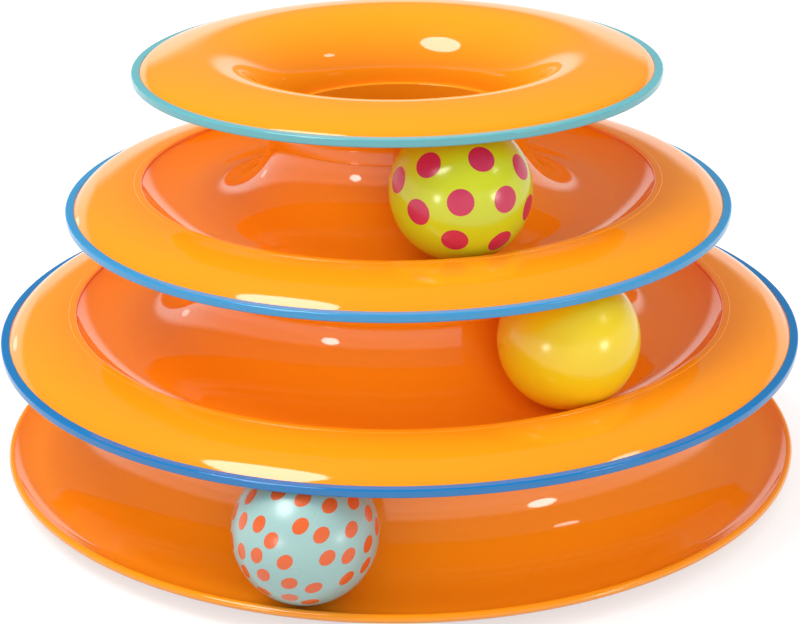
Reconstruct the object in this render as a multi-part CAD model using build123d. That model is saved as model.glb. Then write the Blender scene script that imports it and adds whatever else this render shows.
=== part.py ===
from build123d import *
import os
from collections import namedtuple
from math import acos, asin, cos, degrees, radians, sin, sqrt

# Driving dimensions in millimetres, angles in degrees. The tower's axis is Z and it stands on z = 0

# Moulded walls and fits
wall = 2.4
fit_clearance = 0.3
seat_width = 0.8

# Base neck, which the rest of the tower steps in from, and the skirts that sit on the necks
base_neck_radius = 88.0
skirt_depth = 18.7
lap_height = 3.3

# Umbrella brims: the crest's height over the track's floor, then the rounds of the top, of the shoulder that
# slopes down to the rim and of the underside
Brim = namedtuple("Brim", ("crest_height", "top_round", "shoulder_round", "under_round"))
ring_brim = Brim(6.8, 39.1, 14.0, 33.0)
cap_brim = Brim(5.6, 50.0, 5.0, 40.0)
brim_width = 18.4
brim_edge_slope = 53.0

# Rest of a ring's section: raised lip, hollow ball channel and the cove up to the neck
lip_width = 2.4
lip_step = 0.25
lip_round = 0.6
lip_wall = 0.5
lip_crease_round = 0.2
channel_round = 18.0
neck_cove = 21.0
skirt_fillet = 6.0

# Upturned edge of the base
base_lip_round = 12.0
base_lip_angle = 40.0

# Coloured edge beads, held by a tongue on each disc's edge and centred below the brim's edge
bead_width = 2.6
bead_height = 2.4
bead_drop = 1.0
bead_outer_round = 0.5
bead_inner_round = 0.2
tongue_length = 1.4
tongue_thickness = 1.0
tongue_clearance = 0.1

# Keys that stop a ring from turning on the neck below it
key_width = 5.0
key_height = 2.4
key_angles = (30.0, 150.0, 270.0)

# Hollow balls, each two half shells with a lapped seam. The front half faces the front of the toy and leans back
ball_radius = 20.0
ball_wall = 1.6
seam_height = 1.8
seam_clearance = 0.1
seam_tilt = 68.0
bottom_ball_angle = -103.6
middle_ball_angle = -56.0
top_ball_angle = -73.5

# Room round each ball: floor below, skirt beside, brim above and the lip of its track
ball_floor_gap = 0.3
ball_side_gap = 0.5
ball_head_gap = 1.1
base_lip_gap = 0.9
lower_lip_gap = 0.5
upper_lip_gap = 1.85

# How far each brim's crest lies inside the path of the ball below it
lower_crest_inset = 7.9
upper_crest_inset = 4.2
top_crest_inset = 2.7

# Round foot pads in shallow sockets, set inwards from where the neck's cove meets the floor
foot_pad_height = 2.6
foot_pad_radius = 4.5
foot_inset = 2.0
foot_socket_wall = 1.2
foot_socket_depth = 1.2
foot_socket_root = 1.8
foot_socket_clearance = 0.15
foot_angles = {"front_left": 225.0, "front_right": 315.0, "back_left": 135.0, "back_right": 45.0}

# Radii that follow from these, outwards and inwards from one ball's path to the next
ball_height = ball_floor_gap + ball_radius
path_offset = wall - seat_width + ball_side_gap + ball_radius
lip_height = ring_brim.crest_height + lip_step
half_width_at_lip = sqrt(ball_radius**2 - (ball_height - lip_height) ** 2)
rim_offset = brim_width + bead_width
bottom_path = base_neck_radius + path_offset
lower_crest_radius = bottom_path - lower_crest_inset
lower_radius = lower_crest_radius + rim_offset
middle_path = lower_crest_radius - lip_width - lower_lip_gap - half_width_at_lip
lower_neck_radius = middle_path - path_offset
upper_crest_radius = middle_path - upper_crest_inset
upper_radius = upper_crest_radius + rim_offset
top_path = upper_crest_radius - lip_width - upper_lip_gap - half_width_at_lip
upper_neck_radius = top_path - path_offset
top_crest_radius = top_path - top_crest_inset
top_radius = top_crest_radius + rim_offset

# Edge of the base, clear of the bottom ball
base_edge_round = base_lip_round + wall / 2
base_edge_rise = base_lip_round - base_edge_round * cos(radians(base_lip_angle))
base_edge_reach = sqrt((ball_radius + wall / 2 + base_lip_gap) ** 2 - (ball_height - base_edge_rise) ** 2)
base_edge_radius = bottom_path + base_edge_reach
base_lip_centre = base_edge_radius - base_edge_round * sin(radians(base_lip_angle))

# Levels, far enough apart for each ball to pass under the brim above it

def head_room(brim, crest_inset):
    ceiling = brim.crest_height - wall
    reach = brim.under_round - ball_head_gap - ball_radius
    return ball_height - ceiling + brim.under_round - sqrt(reach**2 - crest_inset**2)


lower_room = head_room(ring_brim, lower_crest_inset)
upper_room = head_room(ring_brim, upper_crest_inset)
top_room = head_room(cap_brim, top_crest_inset)
tier_pitch = max(lower_room, upper_room, top_room)
base_floor = foot_pad_height + wall
lower_level = base_floor + tier_pitch
upper_level = lower_level + tier_pitch
top_level = upper_level + tier_pitch
base_neck_top = lower_level - skirt_depth + lap_height
lower_neck_top = upper_level - skirt_depth + lap_height
upper_neck_top = top_level - skirt_depth + lap_height


# Section shapes, drawn with radius across and height up

def block(low_radius, high_radius, low_height, high_height):
    size = (high_radius - low_radius, high_height - low_height)
    return Pos(low_radius, low_height) * Rectangle(*size, align=(Align.MIN, Align.MIN))


def bend(centre, near_radius, far_radius, start_angle, turn):
    near = CenterArc(centre, near_radius, start_angle, turn)
    far = CenterArc(centre, far_radius, start_angle, turn)
    return make_face([near, far, Line(near @ 0, far @ 0), Line(near @ 1, far @ 1)])


def spun(section):
    return revolve(Plane.XZ * section, Axis.Z)


# Parts of a disc's section

def shoulder_slope(brim):
    """Slope at which a brim's top turns into its shoulder."""
    top_width = brim_width - brim.shoulder_round * sin(radians(brim_edge_slope))
    return degrees(asin(top_width / (brim.top_round - brim.shoulder_round)))


def rim_height(brim):
    """Height of the edge bead's middle over the track's floor."""
    slope_cosine = cos(radians(shoulder_slope(brim)))
    top_drop = brim.top_round * (1 - slope_cosine)
    shoulder_drop = brim.shoulder_round * (slope_cosine - cos(radians(brim_edge_slope)))
    return brim.crest_height - top_drop - shoulder_drop - bead_drop


def brim_section(crest_radius, level, brim):
    crest = level + brim.crest_height
    slope = shoulder_slope(brim)
    apart = brim.top_round - brim.shoulder_round
    top_centre = Vector(crest_radius, crest - brim.top_round)
    shoulder_centre = top_centre + Vector(apart * sin(radians(slope)), apart * cos(radians(slope)))
    under_centre = Vector(crest_radius, crest - wall - brim.under_round)
    under_slope = degrees(asin(brim_width / brim.under_round))
    top = CenterArc(top_centre, brim.top_round, 90.0, -slope)
    shoulder = CenterArc(shoulder_centre, brim.shoulder_round, 90.0 - slope, slope - brim_edge_slope)
    under = CenterArc(under_centre, brim.under_round, 90.0, -under_slope)
    shell = make_face([top, shoulder, under, Line(top @ 0, under @ 0), Line(shoulder @ 1, under @ 1)])
    edge_radius = crest_radius + brim_width
    tongue_low = level + rim_height(brim) - tongue_thickness / 2
    tongue_high = tongue_low + tongue_thickness
    return shell + block(edge_radius - wall / 2, edge_radius + tongue_length, tongue_low, tongue_high)


def channel_section(lip_radius, neck_radius, floor, neck_top):
    crest_radius = lip_radius + lip_width
    lip_top = floor + lip_height
    lip_foot = lip_top - lip_round - lip_wall
    lip = block(lip_radius, crest_radius, lip_foot, lip_top)
    top_corners = lip.vertices().sort_by(Axis.Y)[-2:].sort_by(Axis.X)
    lip = fillet(top_corners[0], lip_round)
    crease = lip.vertices().sort_by(Axis.X)[-2:].sort_by(Axis.Y)[-1]
    lip = fillet(crease, lip_crease_round)
    turn = degrees(acos(1 - (lip_foot - floor) / channel_round))
    floor_end = lip_radius - channel_round * sin(radians(turn))
    outer_side = bend((floor_end, floor + channel_round), channel_round, channel_round + wall, -90.0, 90.0)
    outer_side &= block(floor_end, crest_radius, floor - wall, lip_foot)
    return lip + outer_side + neck_section(neck_radius, floor, neck_top, floor_end)


def neck_section(neck_radius, floor, neck_top, floor_end):
    cove_radius = neck_radius + neck_cove
    flat = block(cove_radius, floor_end, floor - wall, floor)
    curve = bend((cove_radius, floor + neck_cove), neck_cove, neck_cove + wall, 180.0, 90.0)
    upright = block(neck_radius - wall, neck_radius, floor + neck_cove, neck_top)
    return flat + curve + upright


def skirt_lip_section(neck_radius, neck_top):
    inner = neck_radius + fit_clearance
    outer = neck_radius - seat_width + wall
    return block(inner, outer, neck_top - lap_height, neck_top)


def skirt_section(neck_radius, neck_top, ceiling):
    inner = neck_radius - seat_width
    outer = inner + wall
    sleeve = block(inner, outer, neck_top, ceiling + wall / 2)
    corner = block(outer, outer + skirt_fillet, ceiling - skirt_fillet, ceiling)
    corner -= Pos(outer + skirt_fillet, ceiling - skirt_fillet) * Circle(skirt_fillet)
    return skirt_lip_section(neck_radius, neck_top) + sleeve + corner


def funnel_section(crest_radius, level, neck_radius, neck_top):
    across = crest_radius - neck_radius + seat_width
    up = level + cap_brim.crest_height - neck_top
    centre = (crest_radius, neck_top)
    upper = EllipticalCenterArc(centre, across, up, start_angle=90.0, arc_size=90.0)
    under = EllipticalCenterArc(centre, across - wall, up - wall, start_angle=90.0, arc_size=90.0)
    trumpet = make_face([upper, under, Line(upper @ 0, under @ 0), Line(upper @ 1, under @ 1)])
    return trumpet + skirt_lip_section(neck_radius, neck_top)


# Keys under a ring's seat and the slots for them in the neck below

def key_ribs(neck_radius, neck_top):
    inner = neck_radius - seat_width
    outer = neck_radius + fit_clearance + fit_clearance
    rib = Box(outer - inner, key_width, key_height, align=(Align.MIN, Align.CENTER, Align.MAX))
    return [Rot(0, 0, angle) * Pos(inner, 0, neck_top) * rib for angle in key_angles]


def key_slots(neck_radius, neck_top):
    inner = neck_radius - seat_width - fit_clearance
    slot_width = key_width + 2 * fit_clearance
    slot = Box(wall, slot_width, key_height + fit_clearance, align=(Align.MIN, Align.CENTER, Align.MAX))
    return [Rot(0, 0, angle) * Pos(inner, 0, neck_top) * slot for angle in key_angles]


# Base

def foot_places():
    ring_radius = base_neck_radius + neck_cove - foot_inset
    return {name: Rot(0, 0, angle) * Pos(ring_radius, 0, 0) for name, angle in foot_angles.items()}


def make_base_tray():
    lip_centre = (base_lip_centre, base_floor + base_lip_round)
    upturn = bend(lip_centre, base_lip_round, base_lip_round + wall, -90.0, base_lip_angle)
    edge = Pos(base_edge_radius, base_floor + base_edge_rise) * Circle(wall / 2)
    neck = neck_section(base_neck_radius, base_floor, base_neck_top, base_lip_centre)
    tray = spun(upturn + edge + neck)
    socket_inner = foot_pad_radius + foot_socket_clearance
    socket_height = foot_socket_depth + foot_socket_root
    socket = Cylinder(socket_inner + foot_socket_wall, socket_height, align=(Align.CENTER, Align.CENTER, Align.MAX))
    hole = Cylinder(socket_inner, foot_socket_depth, align=(Align.CENTER, Align.CENTER, Align.MAX))
    socket_top = foot_pad_height + foot_socket_root
    tray += [place * Pos(0, 0, socket_top) * socket for place in foot_places().values()]
    tray -= [place * Pos(0, 0, foot_pad_height) * hole for place in foot_places().values()]
    tray -= key_slots(base_neck_radius, base_neck_top)
    return tray


def make_foot_pad(place):
    return place * Cylinder(foot_pad_radius, foot_pad_height, align=(Align.CENTER, Align.CENTER, Align.MIN))


# Rings and cap

def make_track(crest_radius, level, neck_radius, neck_top, neck_below, neck_below_top):
    section = brim_section(crest_radius, level, ring_brim)
    section += channel_section(crest_radius - lip_width, neck_radius, level, neck_top)
    section += skirt_section(neck_below, neck_below_top, level - wall)
    track = spun(section)
    track += key_ribs(neck_below, neck_below_top)
    track -= key_slots(neck_radius, neck_top)
    return track


def make_top_cap():
    section = brim_section(top_crest_radius, top_level, cap_brim)
    section += funnel_section(top_crest_radius, top_level, upper_neck_radius, upper_neck_top)
    cap = spun(section)
    cap += key_ribs(upper_neck_radius, upper_neck_top)
    return cap


def make_rim(outer_radius, level, brim):
    inner_radius = outer_radius - bead_width
    middle = level + rim_height(brim)
    bead = block(inner_radius, outer_radius, middle - bead_height / 2, middle + bead_height / 2)
    bead = fillet(bead.vertices().sort_by(Axis.X)[-2:], bead_outer_round)
    bead = fillet(bead.vertices().sort_by(Axis.X)[:2], bead_inner_round)
    half_groove = tongue_thickness / 2 + tongue_clearance
    groove_end = inner_radius + tongue_length + tongue_clearance
    bead -= block(inner_radius - tongue_clearance, groove_end, middle - half_groove, middle + half_groove)
    return spun(bead)


# Balls

def ball_place(path_radius, floor, angle):
    turn = radians(angle)
    return Pos(path_radius * cos(turn), path_radius * sin(turn), floor + ball_height)


def make_ball_halves(place):
    inner_radius = ball_radius - ball_wall
    middle_radius = ball_radius - ball_wall / 2
    shell = Sphere(ball_radius) - Sphere(inner_radius)
    across = 2 * ball_radius + 2 * ball_wall
    front_side = Box(across, across, across, align=(Align.CENTER, Align.CENTER, Align.MIN))
    seam_lip = Cylinder(middle_radius - seam_clearance, seam_height, align=(Align.CENTER, Align.CENTER, Align.MIN))
    recess_height = seam_height + seam_clearance
    recess = Cylinder(middle_radius, recess_height, align=(Align.CENTER, Align.CENTER, Align.MIN))
    front_half = (shell & front_side) - recess
    back_half = (shell - front_side) + (shell & seam_lip)
    tilt = Rot(seam_tilt, 0, 0)
    return place * tilt * front_half, place * tilt * back_half


# All pieces under their names

def make_pieces():
    pieces = {"base_tray": make_base_tray()}
    for name, place in foot_places().items():
        pieces[f"foot_pad_{name}"] = make_foot_pad(place)
    pieces["lower_track"] = make_track(
        lower_crest_radius, lower_level, lower_neck_radius, lower_neck_top, base_neck_radius, base_neck_top
    )
    pieces["upper_track"] = make_track(
        upper_crest_radius, upper_level, upper_neck_radius, upper_neck_top, lower_neck_radius, lower_neck_top
    )
    pieces["top_cap"] = make_top_cap()
    pieces["lower_rim"] = make_rim(lower_radius, lower_level, ring_brim)
    pieces["upper_rim"] = make_rim(upper_radius, upper_level, ring_brim)
    pieces["top_rim"] = make_rim(top_radius, top_level, cap_brim)
    balls = {
        "bottom_ball": ball_place(bottom_path, base_floor, bottom_ball_angle),
        "middle_ball": ball_place(middle_path, lower_level, middle_ball_angle),
        "top_ball": ball_place(top_path, upper_level, top_ball_angle),
    }
    for name, place in balls.items():
        front_half, back_half = make_ball_halves(place)
        pieces[f"{name}_front_half"] = front_half
        pieces[f"{name}_back_half"] = back_half
    return pieces


os.makedirs("parts", exist_ok=True)
for node, shape in make_pieces().items():
    export_step(shape, f"parts/{node}.step")
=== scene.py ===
from collections import namedtuple
from math import acos, asin, cos, degrees, pi, radians, sin, sqrt, tan

import bmesh
import bpy
from mathutils import Matrix, Vector


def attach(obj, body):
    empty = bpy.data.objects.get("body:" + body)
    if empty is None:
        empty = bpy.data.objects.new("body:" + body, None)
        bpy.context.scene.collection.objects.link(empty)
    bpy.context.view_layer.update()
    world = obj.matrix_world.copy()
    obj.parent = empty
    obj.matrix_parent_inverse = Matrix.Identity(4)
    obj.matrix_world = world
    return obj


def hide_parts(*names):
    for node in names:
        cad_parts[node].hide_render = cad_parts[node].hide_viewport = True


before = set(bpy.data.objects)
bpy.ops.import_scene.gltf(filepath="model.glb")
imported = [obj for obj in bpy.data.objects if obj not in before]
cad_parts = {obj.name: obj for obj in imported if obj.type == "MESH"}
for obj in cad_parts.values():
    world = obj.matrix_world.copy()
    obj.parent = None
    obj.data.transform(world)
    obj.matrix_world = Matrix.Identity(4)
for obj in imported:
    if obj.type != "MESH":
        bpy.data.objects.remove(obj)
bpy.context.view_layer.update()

# Sizes in metres, the same as in the solids
mm = 0.001
wall = 2.4 * mm
fit_clearance = 0.3 * mm
seat_width = 0.8 * mm
base_neck_radius = 88.0 * mm
skirt_depth = 18.7 * mm
lap_height = 3.3 * mm
Brim = namedtuple("Brim", ("crest_height", "top_round", "shoulder_round", "under_round"))
ring_brim = Brim(6.8 * mm, 39.1 * mm, 14.0 * mm, 33.0 * mm)
cap_brim = Brim(5.6 * mm, 50.0 * mm, 5.0 * mm, 40.0 * mm)
brim_width = 18.4 * mm
brim_edge_slope = 53.0
lip_width = 2.4 * mm
lip_step = 0.25 * mm
lip_round = 0.6 * mm
lip_wall = 0.5 * mm
lip_crease_round = 0.2 * mm
channel_round = 18.0 * mm
neck_cove = 21.0 * mm
skirt_fillet = 6.0 * mm
base_lip_round = 12.0 * mm
base_lip_angle = 40.0
bead_width = 2.6 * mm
bead_height = 2.4 * mm
bead_drop = 1.0 * mm
bead_round = 0.5 * mm
tongue_length = 1.4 * mm
tongue_thickness = 1.0 * mm
tongue_clearance = 0.1 * mm
key_width = 5.0 * mm
key_height = 2.4 * mm
key_angles = (30.0, 150.0, 270.0)
ball_radius = 20.0 * mm
seam_tilt = 68.0
bottom_ball_angle = -103.6
middle_ball_angle = -56.0
top_ball_angle = -73.5
ball_floor_gap = 0.3 * mm
ball_side_gap = 0.5 * mm
ball_head_gap = 1.1 * mm
base_lip_gap = 0.9 * mm
lower_lip_gap = 0.5 * mm
upper_lip_gap = 1.85 * mm
lower_crest_inset = 7.9 * mm
upper_crest_inset = 4.2 * mm
top_crest_inset = 2.7 * mm
foot_pad_height = 2.6 * mm
foot_pad_radius = 4.5 * mm
foot_inset = 2.0 * mm
foot_socket_wall = 1.2 * mm
foot_socket_depth = 1.2 * mm
foot_socket_root = 1.8 * mm
foot_socket_clearance = 0.15 * mm
foot_angles = {"front_left": 225.0, "front_right": 315.0, "back_left": 135.0, "back_right": 45.0}

# Fine edges, the balls' seams and the height of the ink
edge_round = 0.4 * mm
bead_edge_round = 0.2 * mm
seam_depth = 0.05 * mm
seam_width = 0.3 * mm
ink_height = 0.03 * mm

# Printed dots in sight, across and up from each ball's middle in ball radii
bottom_dot_length = 5.0 * mm
bottom_dot_width = 3.8 * mm
bottom_dot_lean = (1.1, 1.0)
bottom_dots_shown = (
    (-0.71, 0.48), (-0.33, 0.51), (-0.02, 0.415), (0.33, 0.32), (0.65, 0.36), (0.85, 0.205),
    (0.96, 0.03), (0.83, -0.20), (0.56, -0.345), (0.61, 0.0), (0.21, -0.06), (-0.06, 0.065),
    (0.28, -0.36), (-0.45, -0.11), (-0.605, 0.11), (-0.82, 0.16), (-0.925, 0.295), (-0.98, -0.10),
    (-0.85, -0.24), (-0.65, -0.30), (-0.28, -0.40), (-0.57, -0.56), (-0.81, -0.51), (-0.23, -0.68),
    (0.09, -0.75), (0.53, -0.64), (0.79, -0.48), (-0.57, -0.78), (-0.23, -0.87), (0.04, -0.94),
    (-0.52, 0.78), (-0.12, 0.80), (0.22, 0.66), (0.56, 0.67),
)
top_dot_width = 7.5 * mm
top_dot_lean = (0.0, 1.0)
top_dots_shown = (
    (0.0, -0.17), (0.61, -0.125), (-0.58, -0.30), (-0.44, 0.34), (0.28, 0.42), (-0.86, 0.14), (0.82, 0.32),
    (0.93, -0.24), (-0.08, -0.685), (0.54, -0.70), (-0.14, 0.85), (0.55, 0.80), (-0.66, 0.72),
)

# Least angle from a hidden dot to the next one
dot_room = 16.0

# Fineness of the meshes
turn_steps = 288
ball_turn_steps = 144
foot_turn_steps = 72
arc_step = 3.0
arc_least_steps = 4
corner_steps = 5
ball_step = 3.0
dot_steps = 24
dot_rings = 4
sharp_angle = 30.0
merge_distance = 1e-8

# Rows of points beside a ball's seam, in half widths of its groove
seam_rows = (-2.0, -1.0, -0.5, 0.5, 1.0, 2.0)

# Grain of the moulded finishes
plastic_ior = 1.58
drift_scale = 18.0
gloss_scale = 60.0
ripple_scale = 500.0
ripple_height = 0.02 * mm
plastic_ripple = 0.05
rubber_ripple = 0.3

# Least and most roughness, as shares of a finish's own
gloss_least = 0.8
gloss_most = 1.2

# Colour of each finish, the shade it drifts to, its roughness and the strength of its ripple
Finish = namedtuple("Finish", ("colour", "shade", "roughness", "ripple"))
finishes = {
    "deck_orange": Finish((0.995, 0.33, 0.008), (0.99, 0.315, 0.008), 0.06, plastic_ripple),
    "rim_dark_blue": Finish((0.001, 0.19, 0.50), (0.001, 0.175, 0.47), 0.08, plastic_ripple),
    "rim_mid_blue": Finish((0.035, 0.31, 0.62), (0.03, 0.29, 0.59), 0.08, plastic_ripple),
    "rim_teal": Finish((0.13, 0.45, 0.50), (0.12, 0.43, 0.48), 0.08, plastic_ripple),
    "ball_pale_blue": Finish((0.36, 0.57, 0.54), (0.345, 0.55, 0.52), 0.28, plastic_ripple),
    "ball_yellow": Finish((0.93, 0.67, 0.008), (0.91, 0.64, 0.008), 0.22, plastic_ripple),
    "ball_lime": Finish((0.64, 0.69, 0.012), (0.61, 0.66, 0.012), 0.18, plastic_ripple),
    "dot_orange": Finish((0.82, 0.13, 0.02), (0.78, 0.12, 0.02), 0.25, plastic_ripple),
    "dot_pink": Finish((0.62, 0.02, 0.09), (0.58, 0.02, 0.08), 0.25, plastic_ripple),
    "foot_rubber": Finish((0.02, 0.02, 0.022), (0.03, 0.03, 0.03), 0.6, rubber_ripple),
}

# Studio. The camera and reflections see a sky that is white up to one angle and dim above another
floor_radius = 4.0
floor_white = 0.45
floor_glow_seen = 0.62
world_light = 1.0
sky_white = 1.0
sky_overhead = 0.2
sky_white_rise = 9.0
sky_dim_rise = 15.0
light_bounces = 12
tower_middle = Vector((0.0, 0.0, 80.0)) * mm

# Lamps, each turned right of the camera's side and raised above the floor, in degrees and metres
Lamp = namedtuple("Lamp", ("name", "turn", "rise", "distance", "width", "height", "brightness"))

# These light the surfaces and don't show in them
soft_lamps = (
    Lamp("top_soft", -80.0, 66.0, 1.3, 0.9, 0.9, 4.7),
    Lamp("front_soft", 20.0, 12.0, 1.5, 1.0, 1.0, 1.3),
)

# These only show as gleams
gleam_lamps = (
    Lamp("left_gleam", -48.0, 50.5, 1.2, 0.60, 0.54, 9.5),
    Lamp("back_left_gleam", -141.0, 2.0, 1.5, 0.14, 0.14, 1.5),
    Lamp("right_gleam", 68.1, 34.2, 1.2, 0.20, 0.10, 7.0),
    Lamp("front_left_gleam", -36.0, 3.0, 1.2, 0.20, 0.20, 12.0),
    Lamp("front_right_gleam", 52.0, 3.0, 1.2, 0.24, 0.20, 12.0),
)

# Camera fitted to the rims in the photograph
camera_place = Vector((0.0, -605.2, 288.6)) * mm
camera_down = 21.87
camera_turn = 0.02
camera_roll = -0.51
camera_lens = 93.6
sensor_width = 36.0

# Radii and levels that follow from these
ball_height = ball_floor_gap + ball_radius
path_offset = wall - seat_width + ball_side_gap + ball_radius
lip_height = ring_brim.crest_height + lip_step
half_width_at_lip = sqrt(ball_radius**2 - (ball_height - lip_height) ** 2)
bottom_path = base_neck_radius + path_offset
lower_crest_radius = bottom_path - lower_crest_inset
middle_path = lower_crest_radius - lip_width - lower_lip_gap - half_width_at_lip
lower_neck_radius = middle_path - path_offset
upper_crest_radius = middle_path - upper_crest_inset
top_path = upper_crest_radius - lip_width - upper_lip_gap - half_width_at_lip
upper_neck_radius = top_path - path_offset
top_crest_radius = top_path - top_crest_inset
base_edge_round = base_lip_round + wall / 2
base_edge_rise = base_lip_round - base_edge_round * cos(radians(base_lip_angle))
base_edge_reach = sqrt((ball_radius + wall / 2 + base_lip_gap) ** 2 - (ball_height - base_edge_rise) ** 2)
base_edge_radius = bottom_path + base_edge_reach
base_lip_centre = base_edge_radius - base_edge_round * sin(radians(base_lip_angle))
head_reach = ring_brim.under_round - ball_head_gap - ball_radius
head_rise = ring_brim.under_round - sqrt(head_reach**2 - lower_crest_inset**2)
tier_pitch = ball_height - ring_brim.crest_height + wall + head_rise
base_floor = foot_pad_height + wall
lower_level = base_floor + tier_pitch
upper_level = lower_level + tier_pitch
top_level = upper_level + tier_pitch
base_neck_top = lower_level - skirt_depth + lap_height
lower_neck_top = upper_level - skirt_depth + lap_height
upper_neck_top = top_level - skirt_depth + lap_height


# Section outlines as lists of (radius, height)

def arc(centre, across, up, start, end):
    count = max(arc_least_steps, int(abs(end - start) / arc_step))
    angles = [radians(start + (end - start) * i / count) for i in range(count + 1)]
    return [(centre[0] + across * cos(a), centre[1] + up * sin(a)) for a in angles]


def round_arc(centre, radius, start, end):
    return arc(centre, radius, radius, start, end)


def rounded(corner, before, after, radius):
    """A round corner, from the side of the point before to the side of the point after."""
    point = Vector(corner)
    toward_before = (Vector(before) - point).normalized()
    toward_after = (Vector(after) - point).normalized()
    half_angle = toward_before.angle(toward_after) / 2
    centre = point + (toward_before + toward_after).normalized() * (radius / sin(half_angle))
    first = point + toward_before * (radius / tan(half_angle))
    last = point + toward_after * (radius / tan(half_angle))
    points = []
    for i in range(corner_steps + 1):
        spoke = (first - centre).lerp(last - centre, i / corner_steps).normalized() * radius
        points.append(tuple(centre + spoke))
    return points


def brim_top(crest_radius, level, brim):
    """A brim's top from its edge up the shoulder to the crest."""
    top_width = brim_width - brim.shoulder_round * sin(radians(brim_edge_slope))
    apart = brim.top_round - brim.shoulder_round
    slope = degrees(asin(top_width / apart))
    centre = (crest_radius, level + brim.crest_height - brim.top_round)
    shoulder_centre = (centre[0] + apart * sin(radians(slope)), centre[1] + apart * cos(radians(slope)))
    points = round_arc(shoulder_centre, brim.shoulder_round, 90.0 - brim_edge_slope, 90.0 - slope)[:-1]
    return points + round_arc(centre, brim.top_round, 90.0 - slope, 90.0)


def brim_under(crest_radius, level, brim):
    centre = (crest_radius, level + brim.crest_height - wall - brim.under_round)
    edge_turn = degrees(asin(brim_width / brim.under_round))
    return round_arc(centre, brim.under_round, 90.0, 90.0 - edge_turn)


def rim_middle(crest_radius, level, brim):
    """Height of the middle of a brim's edge bead."""
    return brim_top(crest_radius, level, brim)[0][1] - bead_drop


def tongue(crest_radius, level, brim):
    root = crest_radius + brim_width
    tip = root + tongue_length
    low = rim_middle(crest_radius, level, brim) - tongue_thickness / 2
    high = low + tongue_thickness
    return [(root, low), (tip, low), (tip, high), (root, high)]


def lip_and_channel(crest_radius, level):
    lip_radius = crest_radius - lip_width
    lip_top = level + lip_height
    turn = degrees(acos(1 - (lip_height - lip_round - lip_wall) / channel_round))
    floor_end = lip_radius - channel_round * sin(radians(turn))
    foot = (crest_radius, lip_top - lip_step)
    shoulder = (crest_radius, lip_top)
    edge = (lip_radius, lip_top)
    points = rounded(shoulder, foot, edge, lip_crease_round)
    points += rounded(edge, shoulder, (lip_radius, level), lip_round)
    points += round_arc((floor_end, level + channel_round), channel_round, turn - 90.0, -90.0)
    return points, floor_end


def channel_under(crest_radius, level, floor_end):
    far = channel_round + wall
    turn = degrees(asin((crest_radius - floor_end) / far))
    return round_arc((floor_end, level + channel_round), far, -90.0, turn - 90.0)[:-1]


def neck(neck_radius, level, neck_top, slotted):
    centre = (neck_radius + neck_cove, level + neck_cove)
    slot_radius = neck_radius - seat_width - fit_clearance if slotted else neck_radius
    slot_floor = neck_top - key_height - fit_clearance
    inner = neck_radius - wall
    points = round_arc(centre, neck_cove, 270.0, 180.0)
    points += [(neck_radius, slot_floor), (slot_radius, slot_floor)]
    points += rounded((slot_radius, neck_top), (slot_radius, level), (inner, neck_top), edge_round)
    points += rounded((inner, neck_top), (slot_radius, neck_top), (inner, level), edge_round)
    points += round_arc(centre, neck_cove + wall, 180.0, 270.0)
    return points


def skirt_foot(neck_radius, neck_top, keyed):
    inner = neck_radius - seat_width
    bore = neck_radius + fit_clearance
    outer = inner + wall
    seat = neck_top - key_height if keyed else neck_top
    foot = neck_top - lap_height
    points = [(inner, seat), (bore, seat)]
    points += rounded((bore, foot), (bore, neck_top), (outer, foot), edge_round)
    points += rounded((outer, foot), (bore, foot), (outer, neck_top), edge_round)
    return points


def track_section(crest_radius, level, neck_radius, neck_top, neck_below, neck_below_top, slotted, keyed):
    inside, floor_end = lip_and_channel(crest_radius, level)
    ceiling = level - wall
    skirt_outer = neck_below - seat_width + wall
    points = tongue(crest_radius, level, ring_brim) + brim_top(crest_radius, level, ring_brim) + inside
    points += neck(neck_radius, level, neck_top, slotted)
    points += [(neck_below - seat_width, ceiling)] + skirt_foot(neck_below, neck_below_top, keyed)
    points += round_arc((skirt_outer + skirt_fillet, ceiling - skirt_fillet), skirt_fillet, 180.0, 90.0)
    points += channel_under(crest_radius, level, floor_end)
    points += brim_under(crest_radius, level, ring_brim)
    return points


def cap_section(keyed):
    across = top_crest_radius - upper_neck_radius + seat_width
    up = top_level + cap_brim.crest_height - upper_neck_top
    centre = (top_crest_radius, upper_neck_top)
    points = tongue(top_crest_radius, top_level, cap_brim)
    points += brim_top(top_crest_radius, top_level, cap_brim)[:-1]
    points += arc(centre, across, up, 90.0, 180.0)[:-1]
    points += skirt_foot(upper_neck_radius, upper_neck_top, keyed)
    points += arc(centre, across - wall, up - wall, 180.0, 90.0)[:-1]
    points += brim_under(top_crest_radius, top_level, cap_brim)
    return points


def base_section(slotted):
    lip_centre = (base_lip_centre, base_floor + base_lip_round)
    edge = (base_edge_radius, base_floor + base_edge_rise)
    points = round_arc(lip_centre, base_lip_round + wall, -90.0, base_lip_angle - 90.0)[:-1]
    points += round_arc(edge, wall / 2, base_lip_angle - 90.0, base_lip_angle + 90.0)[:-1]
    points += round_arc(lip_centre, base_lip_round, base_lip_angle - 90.0, -90.0)
    points += neck(base_neck_radius, base_floor, base_neck_top, slotted)
    return points


def lower_track_section(slotted, keyed):
    return track_section(
        lower_crest_radius, lower_level, lower_neck_radius, lower_neck_top,
        base_neck_radius, base_neck_top, slotted, keyed,
    )


def upper_track_section(slotted, keyed):
    return track_section(
        upper_crest_radius, upper_level, upper_neck_radius, upper_neck_top,
        lower_neck_radius, lower_neck_top, slotted, keyed,
    )


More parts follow.
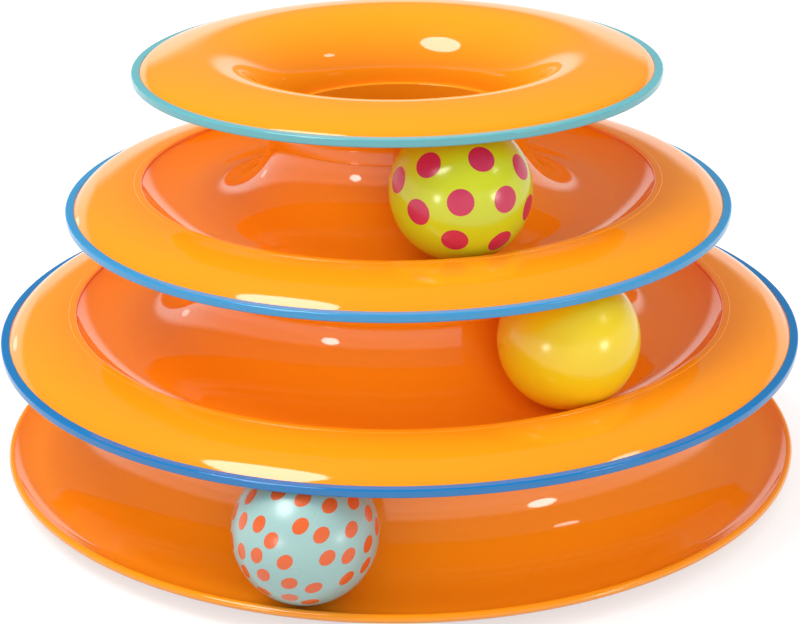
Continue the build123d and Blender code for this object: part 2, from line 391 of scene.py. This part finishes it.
def bead_section(crest_radius, level, brim):
    inner = crest_radius + brim_width
    outer = inner + bead_width
    middle = rim_middle(crest_radius, level, brim)
    low = middle - bead_height / 2
    high = middle + bead_height / 2
    half = tongue_thickness / 2 + tongue_clearance
    groove = inner + tongue_length + tongue_clearance
    points = rounded((outer, low), (inner, low), (outer, high), bead_round)
    points += rounded((outer, high), (outer, low), (inner, high), bead_round)
    points += rounded((inner, high), (outer, high), (inner, middle), bead_edge_round)
    points += [(inner, middle + half), (groove, middle + half)]
    points += [(groove, middle - half), (inner, middle - half)]
    points += rounded((inner, low), (inner, middle), (outer, low), bead_edge_round)
    return points


# Meshes

def near_key(angle, half):
    return any(abs(angle - middle) < half for middle in key_angles)


def turn_columns(slot_half, key_half, steps):
    """Angles round the axis, each with whether a slot or a key is there. A side of one has two columns."""
    columns = []
    for i in range(steps):
        angle = 360.0 * i / steps
        columns.append((angle, 0, near_key(angle, slot_half), near_key(angle, key_half)))
    for middle in key_angles:
        for side in (-1, 1):
            for order in (0, 1):
                inside = (order == 1) == (side == -1)
                if slot_half:
                    angle = middle + side * slot_half
                    columns.append((angle, order, inside, near_key(angle, key_half)))
                if key_half:
                    angle = middle + side * key_half
                    columns.append((angle, order, near_key(angle, slot_half), inside))
    return sorted(columns)


def plain(points):
    """A section that is the same all the way round."""
    return lambda slotted, keyed: points


def turned(section, slot_radius=0.0, key_radius=0.0, closed=True, steps=turn_steps):
    slot_half = degrees(asin((key_width / 2 + fit_clearance) / slot_radius)) if slot_radius else 0.0
    key_half = degrees(asin(key_width / 2 / key_radius)) if key_radius else 0.0
    columns = turn_columns(slot_half, key_half, steps)
    kinds = [(slotted, keyed) for slotted in (False, True) for keyed in (False, True)]
    outlines = {kind: section(*kind) for kind in kinds}
    points = []
    for angle, _, slotted, keyed in columns:
        across, along = cos(radians(angle)), sin(radians(angle))
        points += [(r * across, r * along, z) for r, z in outlines[slotted, keyed]]
    ring = len(outlines[False, False])
    bands = ring if closed else ring - 1
    faces = []
    for i in range(len(columns)):
        here = i * ring
        there = (i + 1) % len(columns) * ring
        for j in range(bands):
            k = (j + 1) % ring
            faces.append((here + j, there + j, there + k, here + k))
    return points, faces


def moved(shell, place):
    points, faces = shell
    return [tuple(place @ Vector(point)) for point in points], faces


def smooth_piece(name, shells):
    points = []
    faces = []
    for shell_points, shell_faces in shells:
        start = len(points)
        points += shell_points
        faces += [tuple(start + i for i in face) for face in shell_faces]
    mesh = bpy.data.meshes.new(name)
    mesh.from_pydata(points, [], faces)
    work = bmesh.new()
    work.from_mesh(mesh)
    bmesh.ops.remove_doubles(work, verts=work.verts, dist=merge_distance)
    bmesh.ops.recalc_face_normals(work, faces=work.faces)
    work.to_mesh(mesh)
    work.free()
    mesh.polygons.foreach_set("use_smooth", [True] * len(mesh.polygons))
    mesh.set_sharp_from_angle(angle=radians(sharp_angle))
    piece = bpy.data.objects.new(name, mesh)
    bpy.context.scene.collection.objects.link(piece)
    shading = piece.modifiers.new("Even shading", "WEIGHTED_NORMAL")
    shading.keep_sharp = True
    return piece


# Feet

def foot_place(angle):
    ring_radius = base_neck_radius + neck_cove - foot_inset
    return Matrix.Rotation(radians(angle), 4, "Z") @ Matrix.Translation((ring_radius, 0, 0))


def pad_section():
    high = foot_pad_height
    radius = foot_pad_radius
    points = [(0.0, 0.0)] + rounded((radius, 0.0), (0.0, 0.0), (radius, high), edge_round)
    points += rounded((radius, high), (radius, 0.0), (0.0, high), edge_round)
    return points + [(0.0, high)]


def socket_section():
    inner = foot_pad_radius + foot_socket_clearance
    outer = inner + foot_socket_wall
    low = foot_pad_height - foot_socket_depth
    high = foot_pad_height + foot_socket_root
    points = rounded((outer, low), (inner, low), (outer, high), edge_round)
    points += [(outer, high), (inner, high)]
    return points + rounded((inner, low), (inner, high), (outer, low), edge_round)


# Balls

def ball_centre(path_radius, floor, angle):
    turn = radians(angle)
    return Vector((path_radius * cos(turn), path_radius * sin(turn), floor + ball_height))


def ball_section():
    half_seam = degrees(seam_width / 2 / ball_radius)
    heights = [-90.0 + ball_step * i for i in range(int(180.0 / ball_step) + 1)]
    heights += [half_seam * row for row in seam_rows]
    points = []
    for height in sorted(heights):
        sunk = seam_depth * max(0.0, 1.0 - abs(height) / half_seam)
        turn = radians(height)
        points.append(((ball_radius - sunk) * cos(turn), (ball_radius - sunk) * sin(turn)))
    points[0] = (0.0, -ball_radius)
    points[-1] = (0.0, ball_radius)
    return points


def make_ball(name, centre):
    place = Matrix.Translation(centre) @ Matrix.Rotation(radians(seam_tilt), 4, "X")
    shell = turned(plain(ball_section()), closed=False, steps=ball_turn_steps)
    return smooth_piece(name, [moved(shell, place)])


def view_axes(centre):
    """Right, up and towards the camera from a ball's middle, in which its dots are placed."""
    toward = (camera_place - centre).normalized()
    right = Vector((0.0, 0.0, 1.0)).cross(toward).normalized()
    return right, toward.cross(right), toward


def dot_directions(shown, axes):
    """The dots in sight, and behind them their opposites where these have room."""
    right, up, toward = axes
    found = []
    for x, y in shown:
        found.append((right * x + up * y + toward * sqrt(1.0 - x * x - y * y)).normalized())
    for direction in list(found):
        if all((-direction).angle(other) > radians(dot_room) for other in found):
            found.append(-direction)
    return found


def dot_shell(centre, direction, lean, half_length, half_width):
    """A printed dot: a piece of the ball's surface, raised by the ink."""
    side = direction.cross(lean).normalized()
    along = side.cross(direction)
    levels = [((i + 1) / dot_rings, ink_height) for i in range(dot_rings)] + [(1.0, -ink_height)]
    points = [tuple(centre + direction * (ball_radius + ink_height))]
    for share, height in levels:
        for i in range(dot_steps):
            turn = radians(360.0 * i / dot_steps)
            reach = along * (half_length * share * cos(turn)) + side * (half_width * share * sin(turn))
            angle = reach.length / ball_radius
            spoke = direction * cos(angle) + reach.normalized() * sin(angle)
            points.append(tuple(centre + spoke * (ball_radius + height)))
    points.append(tuple(centre + direction * (ball_radius - ink_height)))
    faces = []
    for i in range(dot_steps):
        j = (i + 1) % dot_steps
        faces.append((0, 1 + i, 1 + j))
        for level in range(len(levels) - 1):
            start = 1 + level * dot_steps
            faces.append((start + i, start + dot_steps + i, start + dot_steps + j, start + j))
        last = 1 + (len(levels) - 1) * dot_steps
        faces.append((last + i, len(points) - 1, last + j))
    return points, faces


def make_dots(name, centre, shown, lean, half_length, half_width):
    axes = view_axes(centre)
    slant = axes[0] * lean[0] + axes[1] * lean[1]
    directions = dot_directions(shown, axes)
    return smooth_piece(name, [dot_shell(centre, d, slant, half_length, half_width) for d in directions])


# Finishes

def moulded(name, look):
    """A moulded finish: slow colour drift, uneven gloss and a fine ripple in the surface."""
    material = bpy.data.materials.new(name)
    material.use_nodes = True
    nodes = material.node_tree.nodes
    link = material.node_tree.links.new
    surface = nodes["Principled BSDF"]
    surface.inputs["IOR"].default_value = plastic_ior
    place = nodes.new("ShaderNodeTexCoord")

    drift = nodes.new("ShaderNodeTexNoise")
    drift.inputs["Scale"].default_value = drift_scale
    link(place.outputs["Object"], drift.inputs["Vector"])
    tint = nodes.new("ShaderNodeMix")
    tint.data_type = "RGBA"
    tint.inputs["A"].default_value = (*look.colour, 1.0)
    tint.inputs["B"].default_value = (*look.shade, 1.0)
    link(drift.outputs["Fac"], tint.inputs["Factor"])
    link(tint.outputs["Result"], surface.inputs["Base Color"])

    wear = nodes.new("ShaderNodeTexNoise")
    wear.inputs["Scale"].default_value = gloss_scale
    link(place.outputs["Object"], wear.inputs["Vector"])
    gloss = nodes.new("ShaderNodeMapRange")
    gloss.inputs["To Min"].default_value = look.roughness * gloss_least
    gloss.inputs["To Max"].default_value = look.roughness * gloss_most
    link(wear.outputs["Fac"], gloss.inputs["Value"])
    link(gloss.outputs["Result"], surface.inputs["Roughness"])

    ripple = nodes.new("ShaderNodeTexNoise")
    ripple.inputs["Scale"].default_value = ripple_scale
    link(place.outputs["Object"], ripple.inputs["Vector"])
    relief = nodes.new("ShaderNodeBump")
    relief.inputs["Strength"].default_value = look.ripple
    relief.inputs["Distance"].default_value = ripple_height
    link(ripple.outputs["Fac"], relief.inputs["Height"])
    link(relief.outputs["Normal"], surface.inputs["Normal"])
    return material


materials = {name: moulded(f"{name}_finish", look) for name, look in finishes.items()}


# Pieces

def dress(piece, body, slot, nodes=(), finish=None):
    """Gives a piece its body and a finish, the slot's own unless named, and hides the nodes it stands for.
    """
    piece.data.materials.append(materials[finish or slot])
    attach(piece, body)
    if nodes:
        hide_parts(*nodes)


socket_shell = turned(plain(socket_section()), steps=foot_turn_steps)
sockets = [moved(socket_shell, foot_place(angle)) for angle in foot_angles.values()]
base_shell = turned(lambda slotted, keyed: base_section(slotted), slot_radius=base_neck_radius)
dress(smooth_piece("base_tray_moulding", [base_shell] + sockets), "base", "deck_orange", ["base_tray"])

pad_shell = turned(plain(pad_section()), closed=False, steps=foot_turn_steps)
for name, angle in foot_angles.items():
    pad = smooth_piece(f"foot_{name}_rubber", [moved(pad_shell, foot_place(angle))])
    dress(pad, "base", "foot_rubber", [f"foot_pad_{name}"])

lower_shell = turned(lower_track_section, slot_radius=lower_neck_radius, key_radius=base_neck_radius)
dress(smooth_piece("lower_track_moulding", [lower_shell]), "lower_ring", "deck_orange", ["lower_track"])
upper_shell = turned(upper_track_section, slot_radius=upper_neck_radius, key_radius=lower_neck_radius)
dress(smooth_piece("upper_track_moulding", [upper_shell]), "upper_ring", "deck_orange", ["upper_track"])
cap_shell = turned(lambda slotted, keyed: cap_section(keyed), key_radius=upper_neck_radius)
dress(smooth_piece("top_cap_moulding", [cap_shell]), "cap", "deck_orange", ["top_cap"])

beads = (
    ("lower_rim", lower_crest_radius, lower_level, ring_brim, "lower_ring", "rim_dark_blue"),
    ("upper_rim", upper_crest_radius, upper_level, ring_brim, "upper_ring", "rim_mid_blue"),
    ("top_rim", top_crest_radius, top_level, cap_brim, "cap", "rim_teal"),
)
for node, radius, level, brim, body, slot in beads:
    bead_shell = turned(plain(bead_section(radius, level, brim)))
    dress(smooth_piece(f"{node}_bead", [bead_shell]), body, slot, [node])

bottom_centre = ball_centre(bottom_path, base_floor, bottom_ball_angle)
middle_centre = ball_centre(middle_path, lower_level, middle_ball_angle)
top_centre = ball_centre(top_path, upper_level, top_ball_angle)
balls = (
    ("bottom_ball", bottom_centre, "ball_pale_blue"),
    ("middle_ball", middle_centre, "ball_yellow"),
    ("top_ball", top_centre, "ball_lime"),
)
for body, centre, slot in balls:
    dress(make_ball(f"{body}_shell", centre), body, slot, [f"{body}_front_half", f"{body}_back_half"])

bottom_dots = make_dots(
    "bottom_ball_dots", bottom_centre, bottom_dots_shown, bottom_dot_lean,
    bottom_dot_length / 2, bottom_dot_width / 2,
)
dress(bottom_dots, "bottom_ball", "ball_pale_blue", finish="dot_orange")
top_dots = make_dots(
    "top_ball_dots", top_centre, top_dots_shown, top_dot_lean,
    top_dot_width / 2, top_dot_width / 2,
)
dress(top_dots, "top_ball", "ball_lime", finish="dot_pink")


# Stage

def looking_rays(nodes, link):
    """1 for a ray that shows a surface: from the camera, off a gloss or through a clear piece."""
    rays = nodes.new("ShaderNodeLightPath")
    found = rays.outputs["Is Camera Ray"]
    for kind in ("Is Glossy Ray", "Is Transmission Ray"):
        either = nodes.new("ShaderNodeMath")
        either.operation = "MAXIMUM"
        link(found, either.inputs[0])
        link(rays.outputs[kind], either.inputs[1])
        found = either.outputs["Value"]
    return found


def floor_finish():
    """Pale paint that keeps shadows and looks white to the camera and in reflections."""
    material = bpy.data.materials.new("studio_white")
    material.use_nodes = True
    nodes = material.node_tree.nodes
    link = material.node_tree.links.new
    nodes.remove(nodes["Principled BSDF"])
    paint = nodes.new("ShaderNodeBsdfDiffuse")
    paint.inputs["Color"].default_value = (floor_white, floor_white, floor_white, 1.0)
    seen = nodes.new("ShaderNodeMath")
    seen.operation = "MULTIPLY"
    seen.inputs[1].default_value = floor_glow_seen
    link(looking_rays(nodes, link), seen.inputs[0])
    glow = nodes.new("ShaderNodeEmission")
    link(seen.outputs["Value"], glow.inputs["Strength"])
    both = nodes.new("ShaderNodeAddShader")
    link(paint.outputs["BSDF"], both.inputs[0])
    link(glow.outputs["Emission"], both.inputs[1])
    link(both.outputs["Shader"], nodes["Material Output"].inputs["Surface"])
    return material


def floor_section():
    return [(0.0, 0.0), (floor_radius, 0.0)]


def make_floor():
    floor = smooth_piece("studio_floor", [turned(plain(floor_section()), closed=False)])
    floor.data.materials.append(floor_finish())


def make_world():
    """Even light on surfaces. The camera and reflections see a sky, white low down and dim overhead."""
    world = bpy.data.worlds.new("studio")
    world.use_nodes = True
    nodes = world.node_tree.nodes
    link = world.node_tree.links.new
    place = nodes.new("ShaderNodeTexCoord")
    way = nodes.new("ShaderNodeSeparateXYZ")
    link(place.outputs["Generated"], way.inputs["Vector"])
    sky = nodes.new("ShaderNodeMapRange")
    sky.interpolation_type = "SMOOTHSTEP"
    sky.inputs["From Min"].default_value = sin(radians(sky_white_rise))
    sky.inputs["From Max"].default_value = sin(radians(sky_dim_rise))
    sky.inputs["To Min"].default_value = sky_white
    sky.inputs["To Max"].default_value = sky_overhead
    link(way.outputs["Z"], sky.inputs["Value"])
    strength = nodes.new("ShaderNodeMix")
    strength.inputs["A"].default_value = world_light
    link(looking_rays(nodes, link), strength.inputs["Factor"])
    link(sky.outputs["Result"], strength.inputs["B"])
    nodes["Background"].inputs["Color"].default_value = (1.0, 1.0, 1.0, 1.0)
    link(strength.outputs["Result"], nodes["Background"].inputs["Strength"])
    bpy.context.scene.world = world


def make_lamp(plan):
    """An even oval lamp. Its power is its area times its brightness times pi."""
    light = bpy.data.lights.new(plan.name, "AREA")
    light.shape = "ELLIPSE"
    light.size = plan.width
    light.size_y = plan.height
    light.energy = plan.brightness * pi * (pi / 4 * plan.width * plan.height)
    lamp = bpy.data.objects.new(plan.name, light)
    bpy.context.scene.collection.objects.link(lamp)
    across, up = radians(plan.turn), radians(plan.rise)
    away = Vector((sin(across) * cos(up), -cos(across) * cos(up), sin(up)))
    lamp.location = tower_middle + away * plan.distance
    lamp.rotation_euler = away.to_track_quat("Z", "Y").to_euler()
    return lamp


def make_camera():
    down, turn, roll = radians(camera_down), radians(camera_turn), radians(camera_roll)
    forward = Vector((sin(turn) * cos(down), cos(turn) * cos(down), -sin(down)))
    level_right = Vector((cos(turn), -sin(turn), 0.0))
    level_up = level_right.cross(forward)
    right = level_right * cos(roll) + level_up * sin(roll)
    up = level_up * cos(roll) - level_right * sin(roll)
    data = bpy.data.cameras.new("camera")
    data.lens = camera_lens
    data.sensor_width = sensor_width
    data.sensor_fit = "HORIZONTAL"
    camera = bpy.data.objects.new("camera", data)
    bpy.context.scene.collection.objects.link(camera)
    facing = Matrix((right, up, -forward)).transposed().to_4x4()
    camera.matrix_world = Matrix.Translation(camera_place) @ facing
    bpy.context.scene.camera = camera


make_floor()
make_world()
make_camera()
for plan in soft_lamps:
    make_lamp(plan).visible_glossy = False
for plan in gleam_lamps:
    make_lamp(plan).visible_diffuse = False
bpy.context.scene.view_settings.view_transform = "Standard"
bpy.context.scene.cycles.max_bounces = light_bounces
bpy.context.scene.cycles.diffuse_bounces = light_bounces
